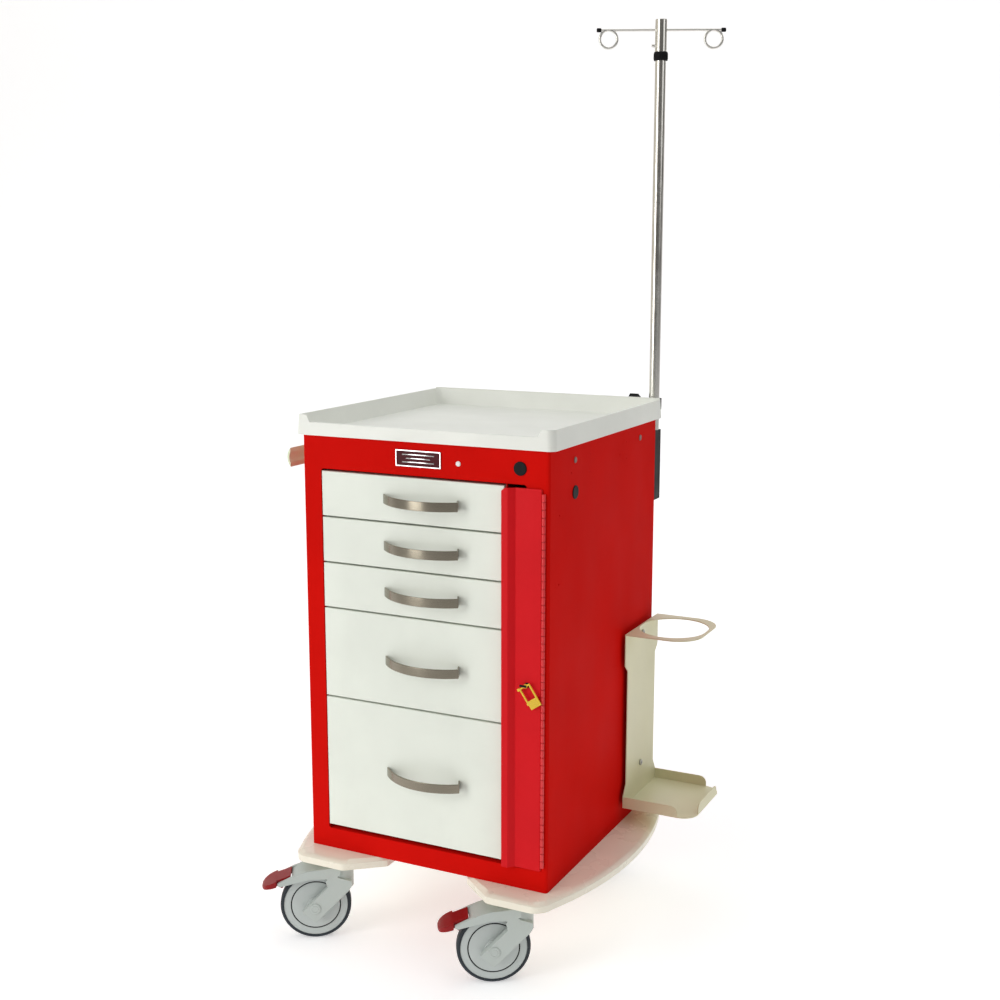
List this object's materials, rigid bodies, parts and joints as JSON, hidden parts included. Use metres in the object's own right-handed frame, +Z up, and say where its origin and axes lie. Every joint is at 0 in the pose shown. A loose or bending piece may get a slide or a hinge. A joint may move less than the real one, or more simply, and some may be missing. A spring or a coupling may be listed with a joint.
{
  "type": "crash cart",
  "caption": "Hospital crash cart: a locking steel drawer cabinet on braked casters, with a work tray on top, a hooked pole, a push handle and an oxygen tank bracket.",
  "frame": {"origin": "floor level under the middle of the whole cart's box", "axes": "+Z up along the pole; the drawer fronts face -Y; +X is the viewer's right, the tank bracket's side"},
  "size_m": [0.6726, 0.6332, 1.6105],
  "materials": {
    "red_sheet": "gloss",
    "bar_red": "gloss",
    "drawer_white": "gloss",
    "bracket_beige": "satin",
    "galvanised": "satin",
    "handle_steel": "satin",
    "hinge_steel": "satin",
    "pole_steel": "polished",
    "inner_steel": "polished",
    "badge_chrome": "polished",
    "badge_field": "gloss",
    "lens": "gloss",
    "tray_plastic": "satin",
    "base_plastic": "satin",
    "black_plastic": "satin",
    "grey_plug": "satin",
    "caster_grey": "satin",
    "wheel_grey": "satin",
    "tyre_rubber": "matte",
    "pedal_red": "gloss",
    "seal_yellow": "satin",
    "grip_beige": "satin",
    "fasteners": "satin"
  },
  "bodies": {
    "cabinet": {"cabinet_shell": "red_sheet", "top_panel": "red_sheet", "bottom_panel": "red_sheet", "front_frame": "red_sheet", "slide_uprights": "red_sheet", "cabinet_slide_rails": "galvanised", "base_bumpers": "base_plastic", "base_frame": "black_plastic", "caster_stems": "galvanised", "work_tray": "tray_plastic", "badge_frame": "badge_chrome", "badge_plate": "badge_field", "indicator_lens": "lens", "black_hole_plugs": "black_plastic", "side_hole_plugs": "grey_plug", "push_handle": "grip_beige", "mounting_screws": "fasteners", "pole_tube": "pole_steel", "pole_brackets": "black_plastic", "tank_bracket": "bracket_beige", "hinge_leaf_cabinet": "hinge_steel"},
    "lock_bar": {"lock_bar": "bar_red", "hinge_leaf_bar": "hinge_steel", "lock_hasp": "black_plastic"},
    "breakaway_seal": {"breakaway_seal": "seal_yellow"},
    "pole_extension": {"pole_inner_tube": "inner_steel"},
    "hook_head": {"hook_head": "pole_steel", "hook_tips": "black_plastic", "hook_head_screw": "pole_steel"},
    "pole_collar": {"pole_collar": "black_plastic"},
    "clamp_knob": {"clamp_knob": "black_plastic"},
    "drawer_1": {"drawer_1_front": "drawer_white", "drawer_1_box": "galvanised", "drawer_1_handle": "handle_steel"},
    "drawer_2": {"drawer_2_front": "drawer_white", "drawer_2_box": "galvanised", "drawer_2_handle": "handle_steel"},
    "drawer_3": {"drawer_3_front": "drawer_white", "drawer_3_box": "galvanised", "drawer_3_handle": "handle_steel"},
    "drawer_4": {"drawer_4_front": "drawer_white", "drawer_4_box": "galvanised", "drawer_4_handle": "handle_steel"},
    "drawer_5": {"drawer_5_front": "drawer_white", "drawer_5_box": "galvanised", "drawer_5_handle": "handle_steel"},
    "caster_front_left": {"caster_front_left_housing": "caster_grey"},
    "caster_front_left_wheel": {"caster_front_left_wheel": "wheel_grey", "caster_front_left_tyre": "tyre_rubber"},
    "brake_pedal_left": {"brake_pedal_left": "pedal_red"},
    "caster_front_right": {"caster_front_right_housing": "caster_grey"},
    "caster_front_right_wheel": {"caster_front_right_wheel": "wheel_grey", "caster_front_right_tyre": "tyre_rubber"},
    "brake_pedal_right": {"brake_pedal_right": "pedal_red"},
    "caster_rear_left": {"caster_rear_left_housing": "caster_grey"},
    "caster_rear_left_wheel": {"caster_rear_left_wheel": "wheel_grey", "caster_rear_left_tyre": "tyre_rubber"},
    "caster_rear_right": {"caster_rear_right_housing": "caster_grey"},
    "caster_rear_right_wheel": {"caster_rear_right_wheel": "wheel_grey", "caster_rear_right_tyre": "tyre_rubber"}
  },
  "joints": [
    {"name": "drawer_1_slide", "type": "slide", "parent": "cabinet", "child": "drawer_1", "axis": [0, -1, 0], "range_m": [0, 0.36]},
    {"name": "drawer_2_slide", "type": "slide", "parent": "cabinet", "child": "drawer_2", "axis": [0, -1, 0], "range_m": [0, 0.36]},
    {"name": "drawer_3_slide", "type": "slide", "parent": "cabinet", "child": "drawer_3", "axis": [0, -1, 0], "range_m": [0, 0.36]},
    {"name": "drawer_4_slide", "type": "slide", "parent": "cabinet", "child": "drawer_4", "axis": [0, -1, 0], "range_m": [0, 0.36]},
    {"name": "drawer_5_slide", "type": "slide", "parent": "cabinet", "child": "drawer_5", "axis": [0, -1, 0], "range_m": [0, 0.36]},
    {"name": "lock_bar_hinge", "type": "hinge", "parent": "cabinet", "child": "lock_bar", "pos_m": [0.18532, -0.24341, 0.523], "axis": [0, 0, 1], "range_deg": [0, 110]},
    {"name": "seal_swing", "type": "hinge", "parent": "lock_bar", "child": "breakaway_seal", "pos_m": [0.15762, -0.24941, 0.5203], "axis": [0, 1, 0], "range_deg": [-8, 8]},
    {"name": "pole_extension_slide", "type": "slide", "parent": "cabinet", "child": "pole_extension", "axis": [0, 0, 1], "range_m": [0, 0.6]},
    {"name": "hook_head_turn", "type": "hinge", "parent": "pole_extension", "child": "hook_head", "pos_m": [0.17833, 0.26609, 1.592], "axis": [0, 0, 1], "continuous": true},
    {"name": "pole_collar_twist", "type": "hinge", "parent": "cabinet", "child": "pole_collar", "pos_m": [0.17833, 0.26609, 1.546], "axis": [0, 0, 1], "range_deg": [0, 90]},
    {"name": "clamp_knob_turn", "type": "hinge", "parent": "cabinet", "child": "clamp_knob", "pos_m": [0.14133, 0.26609, 0.9265], "axis": [1, 0, 0], "range_deg": [0, 1080]},
    {"name": "caster_front_left_swivel", "type": "hinge", "parent": "cabinet", "child": "caster_front_left", "pos_m": [-0.21218, -0.23131, 0.14], "axis": [0, 0, 1], "continuous": true},
    {"name": "caster_front_left_roll", "type": "hinge", "parent": "caster_front_left", "child": "caster_front_left_wheel", "pos_m": [-0.25075, -0.25449, 0.0625], "axis": [0.515, -0.8572, 0], "continuous": true},
    {"name": "brake_pedal_left_press", "type": "hinge", "parent": "caster_front_left", "child": "brake_pedal_left", "pos_m": [-0.29189, -0.27921, 0.114], "axis": [0.515, -0.8572, 0], "range_deg": [0, 12]},
    {"name": "caster_front_right_swivel", "type": "hinge", "parent": "cabinet", "child": "caster_front_right", "pos_m": [0.14083, -0.23131, 0.14], "axis": [0, 0, 1], "continuous": true},
    {"name": "caster_front_right_roll", "type": "hinge", "parent": "caster_front_right", "child": "caster_front_right_wheel", "pos_m": [0.10225, -0.25449, 0.0625], "axis": [0.515, -0.8572, 0], "continuous": true},
    {"name": "brake_pedal_right_press", "type": "hinge", "parent": "caster_front_right", "child": "brake_pedal_right", "pos_m": [0.06111, -0.27921, 0.114], "axis": [0.515, -0.8572, 0], "range_deg": [0, 12]},
    {"name": "caster_rear_left_swivel", "type": "hinge", "parent": "cabinet", "child": "caster_rear_left", "pos_m": [-0.21218, 0.23049, 0.14], "axis": [0, 0, 1], "continuous": true},
    {"name": "caster_rear_left_roll", "type": "hinge", "parent": "caster_rear_left", "child": "caster_rear_left_wheel", "pos_m": [-0.25075, 0.20731, 0.0625], "axis": [0.515, -0.8572, 0], "continuous": true},
    {"name": "caster_rear_right_swivel", "type": "hinge", "parent": "cabinet", "child": "caster_rear_right", "pos_m": [0.14083, 0.23049, 0.14], "axis": [0, 0, 1], "continuous": true},
    {"name": "caster_rear_right_roll", "type": "hinge", "parent": "caster_rear_right", "child": "caster_rear_right_wheel", "pos_m": [0.10225, 0.20731, 0.0625], "axis": [0.515, -0.8572, 0], "continuous": true}
  ]
}
